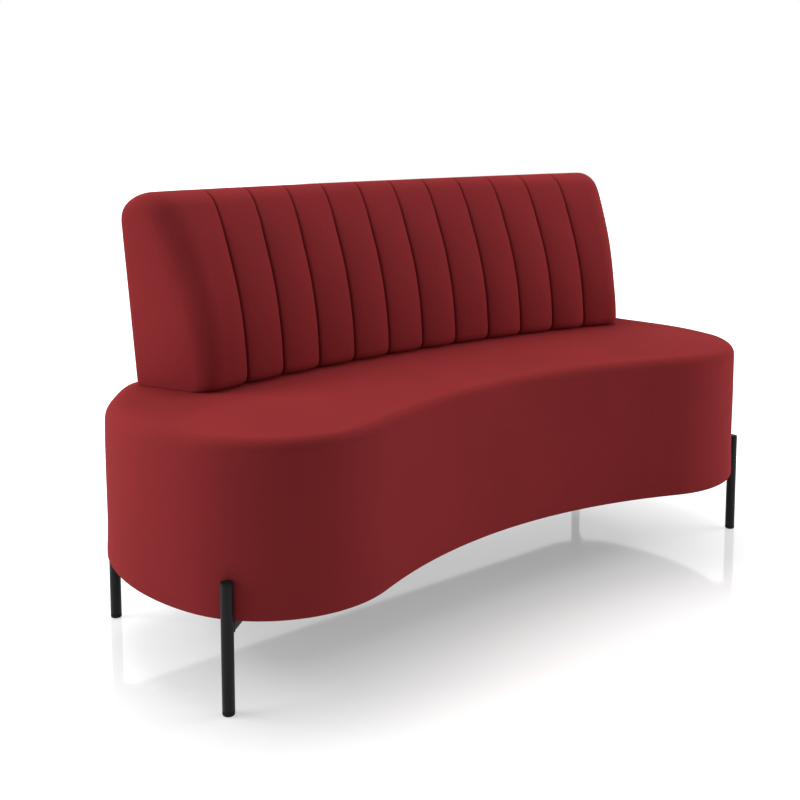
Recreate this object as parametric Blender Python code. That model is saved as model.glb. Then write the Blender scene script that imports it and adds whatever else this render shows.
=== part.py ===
"""Two-seat sofa with a bean-shaped upholstered base and a channelled, curved backrest.

The base is an upholstered box: a plywood floor and a plywood rim on pine studs, wrapped in
hardboard, foam and cover cloth, with webbing and a foam slab for the seat. The backrest is a
foam wedge on a bent panel, carried by three posts that stand in the base. Four steel tube legs
stand outside the wall, each welded to an arm that is screwed up under the floor.

Lengths are in metres. X runs along the sofa, Y from its front to its back and Z up.
"""
import math

import bmesh
import bpy
from mathutils import Vector

# Clearance kept between two pieces that touch
GAP = 0.0003

# Plan of the base: a bean of tangent arcs, the same on the left and the right
BASE_LENGTH = 1.427
BASE_DEPTH = 0.538
WAIST_INSET = 0.100
LOBE_RADIUS = 0.224
END_RADIUS = 0.449
END_CENTRE_Y = 0.027
BACK_CORNER_RADIUS = 0.140

# Heights and edges of the base
BASE_BOTTOM = 0.1485
SEAT_EDGE_HEIGHT = 0.439
SEAT_CROWN = 0.012
SEAT_CROWN_RUN = 0.100
SEAT_EDGE_RADIUS = 0.034
HEM_EDGE_RADIUS = 0.005
HEM_WIDTH = 0.045

# Layers of the base, from the cloth inwards
COVER_CLOTH = 0.0015
WALL_FOAM = 0.012
WALL_BOARD = 0.003
FLOOR_PLY = 0.015
RIM_PLY = 0.018
RIM_WIDTH = 0.060
SEAT_FOAM = 0.060
DUST_CLOTH = 0.0012
DUST_CLOTH_MARGIN = 0.010
STUD_WIDTH = 0.040
STUD_DEPTH = 0.030
WEBBING_WIDTH = 0.060
WEBBING_THICKNESS = 0.002
WEBBING_MARGIN = 0.006

# Outer form of the backrest
BACKREST_END_MARGIN = 0.0915
BACKREST_END_FLARE = 0.036
BACKREST_TOP = 0.801
BACKREST_FROM_BACK = 0.162
BACKREST_THICKNESS = 0.118
FRONT_HOLLOW = 0.068
FRONT_SWEEP = 0.115
REAR_HOLLOW = 0.020
REAR_LEAN = 0.032
TOP_ROUNDING = 0.025
TOP_CORNER_RADIUS = 0.050
FRONT_CORNER_RADIUS = 0.033
REAR_CORNER_RADIUS = 0.012
CHANNEL_COUNT = 12
CHANNEL_END_MARGIN = 0.0388
CHANNEL_DEPTH = 0.010
CHANNEL_FADE = 0.090
BED_FADE = 0.100

# Shares: the part of the backrest's thickness that its end corners may round away, how full the
# channels swell between their seams, and where sections lie round an end corner
CORNER_LIMIT = 0.8
SWELL_POWER = 0.6
CORNER_SHARES = (1.0, 0.5, 0.2, 0.05, 0.0)

# Inside of the backrest
QUILT_PAD = 0.016
REAR_CLOTH = 0.003
BACK_PANEL = 0.009
POST_WIDTH = 0.040
POST_DEPTH = 0.030
POST_FROM_END = 0.262
POST_BELOW_TOP = 0.101
BRACKET_LEG = 0.040
BRACKET_WIDTH = 0.030
BRACKET_STEEL = 0.003

# Legs, arms and screws
LEG_DIAMETER = 0.0205
LEG_WALL = 0.0015
LEG_RISE = 0.069
LEG_TO_COVER = 0.0005
FRONT_LEG_ANGLE = math.radians(-38.6)
BACK_LEG_ANGLE = math.radians(57.3)
LEG_CAP_HEIGHT = 0.0025
LEG_CAP_STEM = 0.012
GLIDE_HEIGHT = 0.007
GLIDE_STEM = 0.018
GLIDE_ROUNDING = 0.002
ARM_SIZE = 0.015
ARM_WALL = 0.0015
ARM_LENGTH = 0.190
SCREW_PLACES = (0.075, 0.155)
SCREW_RADIUS = 0.003
SCREW_HEAD_RADIUS = 0.006
SCREW_HEAD_HEIGHT = 0.0035
SCREW_BITE = 0.012

# How finely the curves are cut
WAIST_STEPS = 4
LOBE_INNER_STEPS = 3
LOBE_OUTER_STEPS = 8
END_STEPS = 4
CORNER_STEPS = 6
EDGE_STEPS = 4
CROWN_STEPS = 3
CHANNEL_STEPS = 4
PLAIN_STEPS = 8
FRONT_STEPS = 8
CAP_STEPS = 6
REAR_STEPS = 3
TUBE_SIDES = 20
SCREW_SIDES = 10

# Plan values that follow from the driving sizes
HALF_LENGTH = BASE_LENGTH / 2
FRONT_Y = -BASE_DEPTH / 2
BACK_Y = BASE_DEPTH / 2
END_CENTRE = Vector((HALF_LENGTH - END_RADIUS, END_CENTRE_Y))


def centre_inside_end(radius, y):
    """Centre, at the given y, of a circle that touches the end arc from inside."""
    reach = END_RADIUS - radius
    return Vector((END_CENTRE.x + math.sqrt(reach ** 2 - (y - END_CENTRE.y) ** 2), y))


LOBE_CENTRE = centre_inside_end(LOBE_RADIUS, FRONT_Y + LOBE_RADIUS)
CORNER_CENTRE = centre_inside_end(BACK_CORNER_RADIUS, BACK_Y - BACK_CORNER_RADIUS)
WAIST_CHORD = LOBE_CENTRE.x ** 2 + (LOBE_RADIUS - WAIST_INSET) ** 2 - LOBE_RADIUS ** 2
WAIST_RADIUS = WAIST_CHORD / (2 * WAIST_INSET)
WAIST_CENTRE = Vector((0, FRONT_Y + WAIST_INSET - WAIST_RADIUS))

# Insets and levels of the layers
WALL_FOAM_INSET = COVER_CLOTH + GAP
WALL_BOARD_INSET = WALL_FOAM_INSET + WALL_FOAM + GAP
FRAME_INSET = WALL_BOARD_INSET + WALL_BOARD + GAP
RIM_INNER_INSET = FRAME_INSET + RIM_WIDTH
HEM_TURN = HEM_EDGE_RADIUS - COVER_CLOTH
LAYERS_BOTTOM = BASE_BOTTOM + COVER_CLOTH + GAP
FLOOR_TOP = LAYERS_BOTTOM + FLOOR_PLY
SEAT_TOP = SEAT_EDGE_HEIGHT + SEAT_CROWN
SEAT_FOAM_SKIN = COVER_CLOTH + GAP
SEAT_FOAM_BOTTOM = SEAT_EDGE_HEIGHT - SEAT_FOAM_SKIN - SEAT_FOAM
WEBBING_TOP = SEAT_FOAM_BOTTOM - GAP
RIM_TOP = WEBBING_TOP - WEBBING_THICKNESS - GAP
RIM_BOTTOM = RIM_TOP - RIM_PLY
DUST_TOP = BASE_BOTTOM - GAP
DUST_BOTTOM = DUST_TOP - DUST_CLOTH
ARM_TOP = DUST_BOTTOM - GAP
ARM_BOTTOM = ARM_TOP - ARM_SIZE
SCREW_TIP = LAYERS_BOTTOM + SCREW_BITE
LEG_TOP = BASE_BOTTOM + LEG_RISE

# Backrest values that follow from the driving sizes
REAR_HALF = HALF_LENGTH - BACKREST_END_MARGIN
FRONT_HALF = REAR_HALF - BACKREST_END_FLARE
FLARE_SLOPE = BACKREST_END_FLARE / BACKREST_THICKNESS
BACKREST_FRONT_Y = BACK_Y - BACKREST_FROM_BACK
BACKREST_BOTTOM = SEAT_TOP + GAP
BACKREST_RISE = BACKREST_TOP - SEAT_TOP
FRONT_SWEEP_RADIUS = (BACKREST_RISE ** 2 + FRONT_SWEEP ** 2) / (2 * FRONT_SWEEP)
CHANNEL_PITCH = 2 * (FRONT_HALF - CHANNEL_END_MARGIN) / CHANNEL_COUNT
LAST_SEAM = CHANNEL_PITCH * (CHANNEL_COUNT / 2 - 1)
POST_SETBACK = REAR_CLOTH + GAP + BACK_PANEL + GAP
POST_TOP = BACKREST_TOP - POST_BELOW_TOP
POST_SPACING = REAR_HALF - POST_FROM_END

# Colour, roughness and metallic value of each finish
FINISHES = {
    "wine_cloth": ((0.240, 0.030, 0.034), 0.85, 0.0),
    "foam": ((0.780, 0.740, 0.600), 0.95, 0.0),
    "plywood": ((0.560, 0.380, 0.210), 0.70, 0.0),
    "pine": ((0.640, 0.450, 0.250), 0.75, 0.0),
    "hardboard": ((0.230, 0.140, 0.080), 0.80, 0.0),
    "webbing": ((0.080, 0.070, 0.060), 0.90, 0.0),
    "dust_cloth": ((0.020, 0.020, 0.021), 0.95, 0.0),
    "black_steel": ((0.012, 0.012, 0.013), 0.55, 0.3),
    "black_plastic": ((0.014, 0.014, 0.015), 0.60, 0.0),
    "zinc_steel": ((0.550, 0.560, 0.580), 0.35, 1.0),
}


def clear_scene():
    for thing in list(bpy.data.objects):
        bpy.data.objects.remove(thing, do_unlink=True)


def make_finish(name):
    colour, roughness, metallic = FINISHES[name]
    finish = bpy.data.materials.new(name)
    finish.use_nodes = True
    shader = finish.node_tree.nodes["Principled BSDF"]
    shader.inputs["Base Color"].default_value = (*colour, 1.0)
    shader.inputs["Roughness"].default_value = roughness
    shader.inputs["Metallic"].default_value = metallic
    return finish


def ramp(value):
    """Smooth step from 0 to 1 as the value goes from 0 to 1."""
    held = min(max(value, 0.0), 1.0)
    return held * held * (3 - 2 * held)


def between(low, high, steps):
    """Evenly spaced values from low to high, both included."""
    return [low + (high - low) * i / steps for i in range(steps + 1)]


def lift(points, z):
    """Plan points at one height."""
    return [Vector((p.x, p.y, z)) for p in points]


def circle(radius, z, sides):
    angles = [math.tau * i / sides for i in range(sides)]
    return [Vector((radius * math.cos(a), radius * math.sin(a), z)) for a in angles]


def place(name, mesh, parent, finish):
    """Link a mesh as one named piece of the sofa."""
    piece = bpy.data.objects.new(name, mesh)
    piece.parent = parent
    bpy.context.scene.collection.objects.link(piece)
    if finish:
        mesh.materials.append(finish)
    return piece


def skin(name, loops, parent, finish=None, ring=False):
    """Skin a row of point loops into one closed body.

    The first and last loops are capped, unless the row is a ring that closes on itself. Each
    four-sided face is split the same way, so that two like skins lie an even distance apart.
    """
    bm = bmesh.new()
    rows = [[bm.verts.new(p) for p in loop] for loop in loops]
    pairs = list(zip(rows, rows[1:]))
    if ring:
        pairs.append((rows[-1], rows[0]))
    else:
        bm.faces.new(rows[0])
        bm.faces.new(rows[-1])
    for low, high in pairs:
        for i in range(len(low)):
            j = (i + 1) % len(low)
            bm.faces.new((low[i], low[j], high[j], high[i]))
    quads = [face for face in bm.faces if len(face.verts) == 4]
    bmesh.ops.triangulate(bm, faces=quads, quad_method="FIXED")
    bmesh.ops.recalc_face_normals(bm, faces=bm.faces)
    mesh = bpy.data.meshes.new(name)
    bm.to_mesh(mesh)
    bm.free()
    mesh.shade_smooth()
    mesh.set_sharp_from_angle(angle=math.radians(35))
    return place(name, mesh, parent, finish)


def as_cutter(piece):
    piece.hide_render = True
    piece.display_type = "WIRE"
    return piece


def cut(piece, cutters):
    for cutter in cutters:
        step = piece.modifiers.new("cut by " + cutter.name, "BOOLEAN")
        step.operation = "DIFFERENCE"
        step.solver = "EXACT"
        step.object = cutter


# Plan of the base


def heading(start, end):
    return math.atan2(end.y - start.y, end.x - start.x)


def arc(centre, radius, start, end, steps):
    angles = between(start, end, steps)
    return [centre + radius * Vector((math.cos(a), math.sin(a))) for a in angles]


def half_plan(inset):
    """Right half of the plan, drawn in by the inset, from mid waist to the end of the corner."""
    waist_to_lobe = heading(WAIST_CENTRE, LOBE_CENTRE)
    lobe_to_waist = heading(LOBE_CENTRE, WAIST_CENTRE)
    end_to_lobe = heading(END_CENTRE, LOBE_CENTRE)
    end_to_corner = heading(END_CENTRE, CORNER_CENTRE)
    square = math.pi / 2
    waist = arc(WAIST_CENTRE, WAIST_RADIUS + inset, square, waist_to_lobe, WAIST_STEPS)
    inner_lobe = arc(LOBE_CENTRE, LOBE_RADIUS - inset, lobe_to_waist, -square, LOBE_INNER_STEPS)
    outer_lobe = arc(LOBE_CENTRE, LOBE_RADIUS - inset, -square, end_to_lobe, LOBE_OUTER_STEPS)
    end = arc(END_CENTRE, END_RADIUS - inset, end_to_lobe, end_to_corner, END_STEPS)
    corner = arc(CORNER_CENTRE, BACK_CORNER_RADIUS - inset, end_to_corner, square, CORNER_STEPS)
    return waist[:-1] + inner_lobe[:-1] + outer_lobe[:-1] + end[:-1] + corner


# Numbers of the plan points in the middle of the lobe's outer side, the end and the corner
LOBE_FRONT = WAIST_STEPS + LOBE_INNER_STEPS
MID_LOBE = LOBE_FRONT + LOBE_OUTER_STEPS // 2
MID_END = LOBE_FRONT + LOBE_OUTER_STEPS + END_STEPS // 2
MID_CORNER = LOBE_FRONT + LOBE_OUTER_STEPS + END_STEPS + CORNER_STEPS // 2


def plan(inset):
    """Whole plan, anticlockwise from the middle of the waist."""
    right = half_plan(inset)
    left = [Vector((-p.x, p.y)) for p in reversed(right[1:])]
    return right + left


def front_edge(x, inset):
    """Y of the plan's front edge at x."""
    meet = WAIST_CENTRE.lerp(LOBE_CENTRE, WAIST_RADIUS / (WAIST_RADIUS + LOBE_RADIUS))
    if abs(x) < meet.x:
        return WAIST_CENTRE.y + math.sqrt((WAIST_RADIUS + inset) ** 2 - x ** 2)
    return LOBE_CENTRE.y - math.sqrt((LOBE_RADIUS - inset) ** 2 - (abs(x) - LOBE_CENTRE.x) ** 2)


def band(name, section, first, last, parent, finish):
    """Strip with a section of inset and height pairs, along the plan from one point to another."""
    rows = []
    for inset, z in section:
        loop = plan(inset)
        steps = (last - first) % len(loop)
        row = [loop[(first + i) % len(loop)] for i in range(steps + 1)]
        row[0] = row[0] + GAP / 2 * (row[1] - row[0]).normalized()
        row[-1] = row[-1] + GAP / 2 * (row[-2] - row[-1]).normalized()
        rows.append(lift(row, z))
    return skin(name, list(zip(*rows)), parent, finish)


def slab(outer, inner, low, high):
    """Four-cornered section between two insets."""
    return [(outer, low), (outer, high), (inner, high), (inner, low)]


# Seat form


def level_bed(p):
    """1 under the backrest, where the seat stays level to its rear edge, fading to 0 around it."""
    along = 1 - ramp((abs(p.x) - REAR_HALF + BED_FADE) / BED_FADE)
    behind = ramp((p.y - BACKREST_FRONT_Y + BED_FADE) / BED_FADE)
    return along * behind


def seat_loops(shell):
    """Loops over the seat from the wall to the level middle, the given distance under the cloth."""
    loops = []
    for angle in between(0, math.pi / 2, EDGE_STEPS):
        inset = SEAT_EDGE_RADIUS - (SEAT_EDGE_RADIUS - shell) * math.cos(angle)
        rise = (SEAT_EDGE_RADIUS - shell) * math.sin(angle) - SEAT_EDGE_RADIUS
        level = SEAT_EDGE_HEIGHT + rise
        loops.append([Vector((p.x, p.y, level + SEAT_CROWN * level_bed(p))) for p in plan(inset)])
    for share in between(0, 1, CROWN_STEPS)[1:]:
        inset = SEAT_EDGE_RADIUS + (SEAT_CROWN_RUN - SEAT_EDGE_RADIUS) * share
        loop = []
        for p in plan(inset):
            fall = (1 - ramp(share)) * (1 - level_bed(p))
            loop.append(Vector((p.x, p.y, SEAT_TOP - shell - SEAT_CROWN * fall)))
        loops.append(loop)
    return loops


def make_seat_cover(root, finish, posts):
    """Cover cloth: seat, wall and a hem turned in under the floor."""
    outside = list(reversed(seat_loops(0)))
    for angle in between(0, math.pi / 2, 2):
        inset = HEM_EDGE_RADIUS * (1 - math.cos(angle))
        outside.append(lift(plan(inset), BASE_BOTTOM + HEM_EDGE_RADIUS * (1 - math.sin(angle))))
    hem = [lift(plan(HEM_WIDTH), BASE_BOTTOM), lift(plan(HEM_WIDTH), BASE_BOTTOM + COVER_CLOTH)]
    inside = [
        lift(plan(COVER_CLOTH + HEM_TURN), BASE_BOTTOM + COVER_CLOTH),
        lift(plan(COVER_CLOTH), BASE_BOTTOM + COVER_CLOTH + HEM_TURN),
    ]
    cover = skin("seat_cover", outside + hem + inside + seat_loops(COVER_CLOTH), root, finish)
    cut(cover, posts)


def make_seat_foam(root, finish, posts):
    floor = lift(plan(SEAT_FOAM_SKIN), SEAT_FOAM_BOTTOM)
    foam = skin("seat_foam", [floor] + seat_loops(SEAT_FOAM_SKIN), root, finish)
    cut(foam, posts)


# Frame and layers of the base


def plate(name, inset, low, high, root, finish):
    return skin(name, [lift(plan(inset), low), lift(plan(inset), high)], root, finish)


def make_floor(root, finishes, screw_holes):
    """Plywood floor and the dust cloth under it, both pierced by the arms' screws."""
    floor = plate("floor_panel", FRAME_INSET, LAYERS_BOTTOM, FLOOR_TOP, root, finishes["plywood"])
    cut(floor, screw_holes)
    dust = plate("dust_cloth", DUST_CLOTH_MARGIN, DUST_BOTTOM, DUST_TOP, root, finishes["dust_cloth"])
    cut(dust, screw_holes)


def make_rim(root, finish, posts):
    """Plywood rim under the seat in four pieces, the back one notched for the posts."""
    count = len(plan(0))
    spans = {
        "seat_rim_front": (count - MID_LOBE, MID_LOBE),
        "seat_rim_right": (MID_LOBE, MID_CORNER),
        "seat_rim_back": (MID_CORNER, count - MID_CORNER),
        "seat_rim_left": (count - MID_CORNER, count - MID_LOBE),
    }
    for name, (first, last) in spans.items():
        section = slab(FRAME_INSET, RIM_INNER_INSET, RIM_BOTTOM, RIM_TOP)
        piece = band(name, section, first, last, root, finish)
        if name == "seat_rim_back":
            cut(piece, posts)


def make_studs(root, finish):
    """Pine studs between the floor and the rim."""
    count = len(plan(0))
    spots = {
        "stud_front_middle": 0,
        "stud_front_right": MID_LOBE,
        "stud_end_right": MID_END,
        "stud_back_right": MID_CORNER,
        "stud_front_left": count - MID_LOBE,
        "stud_end_left": count - MID_END,
        "stud_back_left": count - MID_CORNER,
    }
    outside = plan(FRAME_INSET)
    middle = plan(FRAME_INSET + RIM_WIDTH / 2)
    for name, index in spots.items():
        outward = (outside[index] - middle[index]).normalized()
        along = Vector((-outward.y, outward.x))
        corners = []
        for side, deep in ((-1, -1), (1, -1), (1, 1), (-1, 1)):
            corners.append(along * side * STUD_WIDTH / 2 + outward * deep * STUD_DEPTH / 2)
        stud = skin(name, [lift(corners, FLOOR_TOP + GAP), lift(corners, RIM_BOTTOM - GAP)], root, finish)
        stud.location = (middle[index].x, middle[index].y, 0)


def make_wall(root, finishes):
    """Hardboard and foam wrapped round the frame, each in a front and a back length."""
    count = len(plan(0))
    halves = {"front": (count - MID_END, MID_END), "back": (MID_END, count - MID_END)}
    board = slab(WALL_BOARD_INSET, WALL_BOARD_INSET + WALL_BOARD, LAYERS_BOTTOM, RIM_TOP)
    foam = slab(WALL_FOAM_INSET, WALL_FOAM_INSET + WALL_FOAM, LAYERS_BOTTOM + HEM_TURN, WEBBING_TOP)
    foam[-1:] = [(WALL_FOAM_INSET + WALL_FOAM, LAYERS_BOTTOM), (WALL_FOAM_INSET + HEM_TURN, LAYERS_BOTTOM)]
    for half, (first, last) in halves.items():
        band("wall_board_" + half, board, first, last, root, finishes["hardboard"])
        band("wall_foam_" + half, foam, first, last, root, finishes["foam"])


def make_webbing(root, finish):
    """Webbing straps from the front rim to the back rim, clear of the posts."""
    thirds = (-4, -2, -1, 1, 2, 4)
    for number, third in enumerate(thirds, start=1):
        x = POST_SPACING * third / 3
        left = x - WEBBING_WIDTH / 2
        right = x + WEBBING_WIDTH / 2
        back = BACK_Y - FRAME_INSET - WEBBING_MARGIN
        corners = [
            Vector((left, front_edge(left, FRAME_INSET + WEBBING_MARGIN))),
            Vector((right, front_edge(right, FRAME_INSET + WEBBING_MARGIN))),
            Vector((right, back)),
            Vector((left, back)),
        ]
        loops = [lift(corners, WEBBING_TOP - WEBBING_THICKNESS), lift(corners, WEBBING_TOP)]
        skin("seat_webbing_" + str(number), loops, root, finish)


# Backrest form


def rear_y(s, z):
    """Y of the backrest's rear face, s running from -1 at the left end to 1 at the right."""
    climb = (z - SEAT_TOP) / BACKREST_RISE
    return BACKREST_FRONT_Y + BACKREST_THICKNESS - REAR_HOLLOW * s * s + REAR_LEAN * climb


def front_y(s, z):
    """Y of the backrest's front face over its channels: hollow along X, swept back as it climbs."""
    climb = max(z - SEAT_TOP, 0)
    sweep = FRONT_SWEEP_RADIUS - math.sqrt(FRONT_SWEEP_RADIUS ** 2 - climb ** 2)
    return BACKREST_FRONT_Y - FRONT_HOLLOW * s * s + sweep


def flared(s, y, z):
    """Point of the section at s, whose plane opens outwards to the rear, most of all at the ends."""
    return Vector((s * (FRONT_HALF + FLARE_SLOPE * s ** 4 * (y - BACKREST_FRONT_Y)), y, z))


def rear_y_at(x, z, depth):
    """Y at x of a face that lies the given depth in front of the backrest's rear face."""
    near = x / REAR_HALF
    y = rear_y(near, z) - depth
    s = x / (FRONT_HALF + FLARE_SLOPE * near ** 4 * (y - BACKREST_FRONT_Y))
    return rear_y(s, z) - depth


def rounded_in(distance, radius):
    """How far a rounded corner lies behind its edge at a distance from the end."""
    short = max(radius - distance, 0)
    return radius - math.sqrt(radius ** 2 - short ** 2)


def seam_pull(x):
    """How far the sewn channels draw the front face in at x."""
    if abs(x) <= LAST_SEAM:
        across = (x / CHANNEL_PITCH) % 1
    else:
        across = min((abs(x) - LAST_SEAM) / CHANNEL_PITCH, 0.5)
    swell = 1 - (2 * across - 1) ** 2
    return CHANNEL_DEPTH * (1 - swell ** SWELL_POWER)


def top_at(s, pad):
    """Height of the top edge at s, the given distance inside the outer form."""
    distance = (1 - abs(s)) * FRONT_HALF - pad
    return BACKREST_TOP - pad - rounded_in(max(distance, 0), TOP_CORNER_RADIUS - pad)


def crest(front, rear, cap):
    """Rounded top of a section, which leaves the front on its slope and meets the rear upright."""
    lean = math.asin((cap - SEAT_TOP) / FRONT_SWEEP_RADIUS)
    arm = TOP_ROUNDING / (0.375 * (1 + math.cos(lean)))
    slope = (front + arm * math.sin(lean), cap + arm * math.cos(lean))
    knots = [(front, cap), slope, (rear, cap + arm), (rear, cap)]
    points = []
    for share in between(0, 1, CAP_STEPS):
        rest = 1 - share
        weights = (rest ** 3, 3 * rest ** 2 * share, 3 * rest * share ** 2, share ** 3)
        points.append(tuple(sum(w * knot[axis] for w, knot in zip(weights, knots)) for axis in (0, 1)))
    return points


def wedge_section(s, pad, low, rear_offset, channelled):
    """Closed section of the wedge at s: up the front, over the top and down the rear.

    A channelled section has a rounded top and rear corners. A plain one, for what lies inside,
    runs level from its crest to a rear face that lies rear_offset in front of the form's rear.
    """
    distance = max((1 - abs(s)) * FRONT_HALF - pad, 0)
    top = top_at(s, pad)
    cap = top - (TOP_ROUNDING - pad)
    pull = seam_pull(s * FRONT_HALF) if channelled else 0
    radii = FRONT_CORNER_RADIUS + REAR_CORNER_RADIUS

    def faces(z):
        thick = rear_y(s, z) - front_y(s, z)
        held = min(1, CORNER_LIMIT * thick / radii)
        front = front_y(s, z) + pad + held * rounded_in(distance, FRONT_CORNER_RADIUS - pad)
        rear = rear_y(s, z) - rear_offset
        if channelled:
            rear -= held * rounded_in(distance, REAR_CORNER_RADIUS)
        return front, rear

    levels = between(BACKREST_BOTTOM, cap, FRONT_STEPS)
    if low < BACKREST_BOTTOM:
        levels.insert(0, low)
    points = [(faces(z)[0] + pull * (1 - ramp(1 + (z - cap) / CHANNEL_FADE)), z) for z in levels]
    front, rear = faces(cap)
    if channelled:
        points += crest(front, rear, cap)[1:]
        points += [(faces(z)[1], z) for z in between(cap, low, REAR_STEPS)[1:]]
    else:
        rounding = TOP_ROUNDING - pad
        for angle in between(0, math.pi / 2, CAP_STEPS // 2)[1:]:
            points.append((front + rounding * (1 - math.cos(angle)), cap + rounding * math.sin(angle)))
        points += [(rear, top), (faces(low)[1], low)]
    return [flared(s, y, z) for y, z in points]


def corner_places(half, radius):
    """Places of the sections round an end corner, closer together towards the end."""
    return [half - radius * share for share in CORNER_SHARES]


def channel_places():
    """Places of the sections along the channelled front."""
    seams = between(0, LAST_SEAM, CHANNEL_STEPS * (CHANNEL_COUNT // 2 - 1))
    shoulder = [LAST_SEAM + CHANNEL_PITCH / 4, LAST_SEAM + CHANNEL_PITCH / 2]
    right = seams + shoulder + corner_places(FRONT_HALF, TOP_CORNER_RADIUS)
    return [-x for x in reversed(right[1:])] + right


def plain_places(pad):
    """Places of the sections along what lies inside the quilted cover."""
    half = FRONT_HALF - pad
    radius = TOP_CORNER_RADIUS - pad
    right = between(0, half - radius, PLAIN_STEPS) + corner_places(half, radius)[1:]
    return [-x for x in reversed(right[1:])] + right


def wedge(name, pad, low, rear_offset, channelled, root, finish=None):
    places = channel_places() if channelled else plain_places(pad)
    sections = [wedge_section(x / FRONT_HALF, pad, low, rear_offset, channelled) for x in places]
    return skin(name, sections, root, finish)


def rear_plate(name, pad, near, far, root, finish):
    """Bent plate between two depths in front of the backrest's rear face."""
    sections = []
    for x in plain_places(pad):
        s = x / FRONT_HALF
        top = top_at(s, pad)
        corners = [(far, BACKREST_BOTTOM), (far, top), (near, top), (near, BACKREST_BOTTOM)]
        sections.append([flared(s, rear_y(s, z) - depth, z) for depth, z in corners])
    return skin(name, sections, root, finish)


def upright(name, x, width, low, high, near, far, root, finish=None):
    """Prism that leans with the backrest's rear face, between two depths in front of it."""
    loops = []
    for z in (low, high):
        corners = []
        for side, depth in ((-1, far), (1, far), (1, near), (-1, near)):
            across = x + side * width / 2
            corners.append(Vector((across, rear_y_at(across, z, depth), z)))
        loops.append(corners)
    return skin(name, loops, root, finish)


POST_PLACES = {"left": -POST_SPACING, "middle": 0.0, "right": POST_SPACING}


def make_post_cutters(root):
    cutters = []
    for side, x in POST_PLACES.items():
        cutter = upright("post_slot_" + side, x, POST_WIDTH + 2 * GAP, FLOOR_TOP, POST_TOP + GAP,
                         POST_SETBACK - GAP, POST_SETBACK + POST_DEPTH + GAP, root)
        cutters.append(as_cutter(cutter))
    return cutters


def make_posts(root, finishes):
    """Posts that carry the backrest, each held to the floor by an angle bracket."""
    for side, x in POST_PLACES.items():
        upright("back_post_" + side, x, POST_WIDTH, FLOOR_TOP + GAP, POST_TOP,
                POST_SETBACK, POST_SETBACK + POST_DEPTH, root, finishes["pine"])
        foot = FLOOR_TOP + GAP
        face = POST_SETBACK + POST_DEPTH + GAP
        outline = [
            (BRACKET_LEG, 0),
            (0, 0),
            (0, BRACKET_LEG),
            (BRACKET_STEEL, BRACKET_LEG),
            (BRACKET_STEEL, BRACKET_STEEL),
            (BRACKET_LEG, BRACKET_STEEL),
        ]
        sections = []
        for across in (x - BRACKET_WIDTH / 2, x + BRACKET_WIDTH / 2):
            section = []
            for out, up in outline:
                y = rear_y_at(across, foot + up, face) - out
                section.append(Vector((across, y, foot + up)))
            sections.append(section)
        skin("post_bracket_" + side, sections, root, finishes["zinc_steel"])


def make_backrest(root, finishes, posts):
    """Quilted cover, foam wedge, bent panel and rear cloth."""
    cover = wedge("back_quilted_cover", 0, BACKREST_BOTTOM, 0, True, root, finishes["wine_cloth"])
    through = 2 * REAR_CORNER_RADIUS
    hollow = wedge("back_hollow", QUILT_PAD, BACKREST_BOTTOM - through, -through, False, root)
    cut(cover, [as_cutter(hollow)])
    pad = QUILT_PAD + GAP
    panel_near = REAR_CLOTH + GAP
    rear_plate("back_rear_cloth", pad, 0, REAR_CLOTH, root, finishes["wine_cloth"])
    rear_plate("back_panel", pad, panel_near, panel_near + BACK_PANEL, root, finishes["plywood"])
    foam = wedge("back_foam", pad, BACKREST_BOTTOM, POST_SETBACK, False, root, finishes["foam"])
    cut(foam, posts)


# Legs


def leg_spots():
    """Name, plan place and inward heading of each leg."""
    reach = LEG_TO_COVER + LEG_DIAMETER / 2
    front = (LOBE_CENTRE, LOBE_RADIUS + reach, FRONT_LEG_ANGLE)
    back = (CORNER_CENTRE, BACK_CORNER_RADIUS + reach, BACK_LEG_ANGLE)
    spots = []
    for row, (centre, distance, angle) in (("front", front), ("back", back)):
        spot = centre + distance * Vector((math.cos(angle), math.sin(angle)))
        spots.append((row + "_right", spot, angle + math.pi))
        spots.append((row + "_left", Vector((-spot.x, spot.y)), -angle))
    return spots


def turned(profile, sides=TUBE_SIDES):
    """Loops of a turned piece from radius and height pairs."""
    return [circle(radius, z, sides) for radius, z in profile]


def make_leg(name, spot, root, finishes):
    """Leg tube with a cap in its top end and a glide in its foot."""
    outer = LEG_DIAMETER / 2
    inner = outer - LEG_WALL
    stem = inner - GAP
    low = GLIDE_HEIGHT + GAP
    high = LEG_TOP - LEG_CAP_HEIGHT - GAP
    tube = [(outer, low), (outer, high), (inner, high), (inner, low)]
    cap = [
        (stem, high - LEG_CAP_STEM),
        (stem, LEG_TOP - LEG_CAP_HEIGHT),
        (outer, LEG_TOP - LEG_CAP_HEIGHT),
        (outer, LEG_TOP - LEG_CAP_HEIGHT / 2),
        (outer - LEG_CAP_HEIGHT / 2, LEG_TOP),
    ]
    glide = [
        (outer - GLIDE_ROUNDING, 0),
        (outer - GLIDE_ROUNDING / 3, GLIDE_ROUNDING / 3),
        (outer, GLIDE_ROUNDING),
        (outer, GLIDE_HEIGHT),
        (stem, GLIDE_HEIGHT),
        (stem, GLIDE_HEIGHT + GLIDE_STEM),
    ]
    pieces = [
        skin("leg_tube_" + name, turned(tube), root, finishes["black_steel"], ring=True),
        skin("leg_cap_" + name, turned(cap), root, finishes["black_plastic"]),
        skin("leg_glide_" + name, turned(glide), root, finishes["black_plastic"]),
    ]
    for piece in pieces:
        piece.location = (spot.x, spot.y, 0)


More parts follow.
